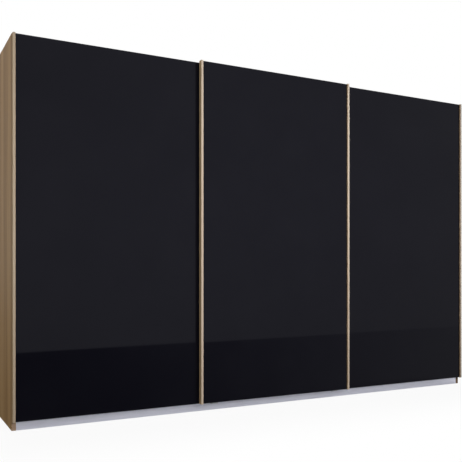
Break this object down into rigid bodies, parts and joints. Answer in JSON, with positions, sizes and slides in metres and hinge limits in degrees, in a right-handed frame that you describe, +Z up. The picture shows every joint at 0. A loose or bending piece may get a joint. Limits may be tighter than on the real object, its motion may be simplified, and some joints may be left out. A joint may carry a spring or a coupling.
{
  "type": "sliding door wardrobe",
  "caption": "Wide wardrobe with overlapping top-hung sliding doors of black glass between oak grip strips, on an oak carcass with shelves and clothes rails.",
  "frame": {"origin": "centre of the footprint, on the floor", "axes": "+X along the width to the viewer's right, -Y towards the viewer (the doors), +Z up"},
  "size_m": [3.2, 0.62, 2.1],
  "materials": {
    "oak": "matt oak decor with fine upright grain",
    "board": "matt light oak decor",
    "hardboard": "printed hardboard",
    "black_glass": "gloss, lacquered black on the rear face",
    "plinth_aluminium": "brushed aluminium look",
    "aluminium": "anodised",
    "zinc": "zinc plated",
    "chrome": "polished",
    "plastic_dark": "moulded, black",
    "plastic_light": "extruded, beige",
    "rubber": "matt"
  },
  "bodies": {
    "carcass": {"side_panel_left": "oak", "side_panel_right": "oak", "partition_left": "board", "partition_right": "board", "bottom_board_left": "board", "bottom_board_middle": "board", "bottom_board_right": "board", "top_board_left": "board", "top_board_middle": "board", "top_board_right": "board", "back_panel_left": "hardboard", "back_panel_middle": "hardboard", "back_panel_right": "hardboard", "back_joiners": "plastic_light", "plinth_front": "plinth_aluminium", "plinth_rear": "board", "floor_glides": "plastic_dark", "cam_locks": "zinc", "cam_bolts": "zinc", "shelf_left": "board", "shelf_middle": "board", "shelf_right": "board", "shelf_pins": "zinc", "clothes_rail_left": "chrome", "clothes_rail_middle": "chrome", "clothes_rail_right": "chrome", "rail_sockets": "chrome", "running_rail": "aluminium", "guide_rail": "aluminium", "rail_screws": "zinc", "track_stops": "rubber", "wall_brackets": "zinc"},
    "door_left": {"door_left_panel": "board", "door_left_glass": "black_glass", "door_left_grips": "oak", "door_left_hangers": "zinc", "door_left_guide_arms": "zinc", "door_left_shoes": "plastic_dark", "door_left_screws": "zinc"},
    "door_middle": {"door_middle_panel": "board", "door_middle_glass": "black_glass", "door_middle_grips": "oak", "door_middle_hangers": "zinc", "door_middle_guide_arms": "zinc", "door_middle_shoes": "plastic_dark", "door_middle_screws": "zinc"},
    "door_right": {"door_right_panel": "board", "door_right_glass": "black_glass", "door_right_grips": "oak", "door_right_hangers": "zinc", "door_right_guide_arms": "zinc", "door_right_shoes": "plastic_dark", "door_right_screws": "zinc"},
    "roller_left_outer": {"roller_left_outer": "plastic_dark"},
    "roller_left_inner": {"roller_left_inner": "plastic_dark"},
    "roller_middle_left": {"roller_middle_left": "plastic_dark"},
    "roller_middle_right": {"roller_middle_right": "plastic_dark"},
    "roller_right_inner": {"roller_right_inner": "plastic_dark"},
    "roller_right_outer": {"roller_right_outer": "plastic_dark"}
  },
  "joints": [
    {"name": "left_door_slide", "type": "slide", "parent": "carcass", "child": "door_left", "axis": [1, 0, 0], "range_m": [0, 0.517]},
    {"name": "middle_door_slide", "type": "slide", "parent": "carcass", "child": "door_middle", "axis": [1, 0, 0], "range_m": [-1.059, 1.059]},
    {"name": "right_door_slide", "type": "slide", "parent": "carcass", "child": "door_right", "axis": [1, 0, 0], "range_m": [-0.517, 0]},
    {"name": "roller_left_outer_spin", "type": "hinge", "parent": "door_left", "child": "roller_left_outer", "pos_m": [-1.48, -0.228, 2.079], "axis": [0, 1, 0], "continuous": true},
    {"name": "roller_left_inner_spin", "type": "hinge", "parent": "door_left", "child": "roller_left_inner", "pos_m": [-0.638, -0.228, 2.079], "axis": [0, 1, 0], "continuous": true},
    {"name": "roller_middle_left_spin", "type": "hinge", "parent": "door_middle", "child": "roller_middle_left", "pos_m": [-0.421, -0.198, 2.079], "axis": [0, 1, 0], "continuous": true},
    {"name": "roller_middle_right_spin", "type": "hinge", "parent": "door_middle", "child": "roller_middle_right", "pos_m": [0.421, -0.198, 2.079], "axis": [0, 1, 0], "continuous": true},
    {"name": "roller_right_inner_spin", "type": "hinge", "parent": "door_right", "child": "roller_right_inner", "pos_m": [0.638, -0.228, 2.079], "axis": [0, 1, 0], "continuous": true},
    {"name": "roller_right_outer_spin", "type": "hinge", "parent": "door_right", "child": "roller_right_outer", "pos_m": [1.48, -0.228, 2.079], "axis": [0, 1, 0], "continuous": true}
  ],
  "couplings": [
    {"joint": "roller_left_outer_spin", "follows": "left_door_slide", "rad_per_m": 71.429},
    {"joint": "roller_left_inner_spin", "follows": "left_door_slide", "rad_per_m": 71.429},
    {"joint": "roller_middle_left_spin", "follows": "middle_door_slide", "rad_per_m": 71.429},
    {"joint": "roller_middle_right_spin", "follows": "middle_door_slide", "rad_per_m": 71.429},
    {"joint": "roller_right_inner_spin", "follows": "right_door_slide", "rad_per_m": 71.429},
    {"joint": "roller_right_outer_spin", "follows": "right_door_slide", "rad_per_m": 71.429}
  ]
}
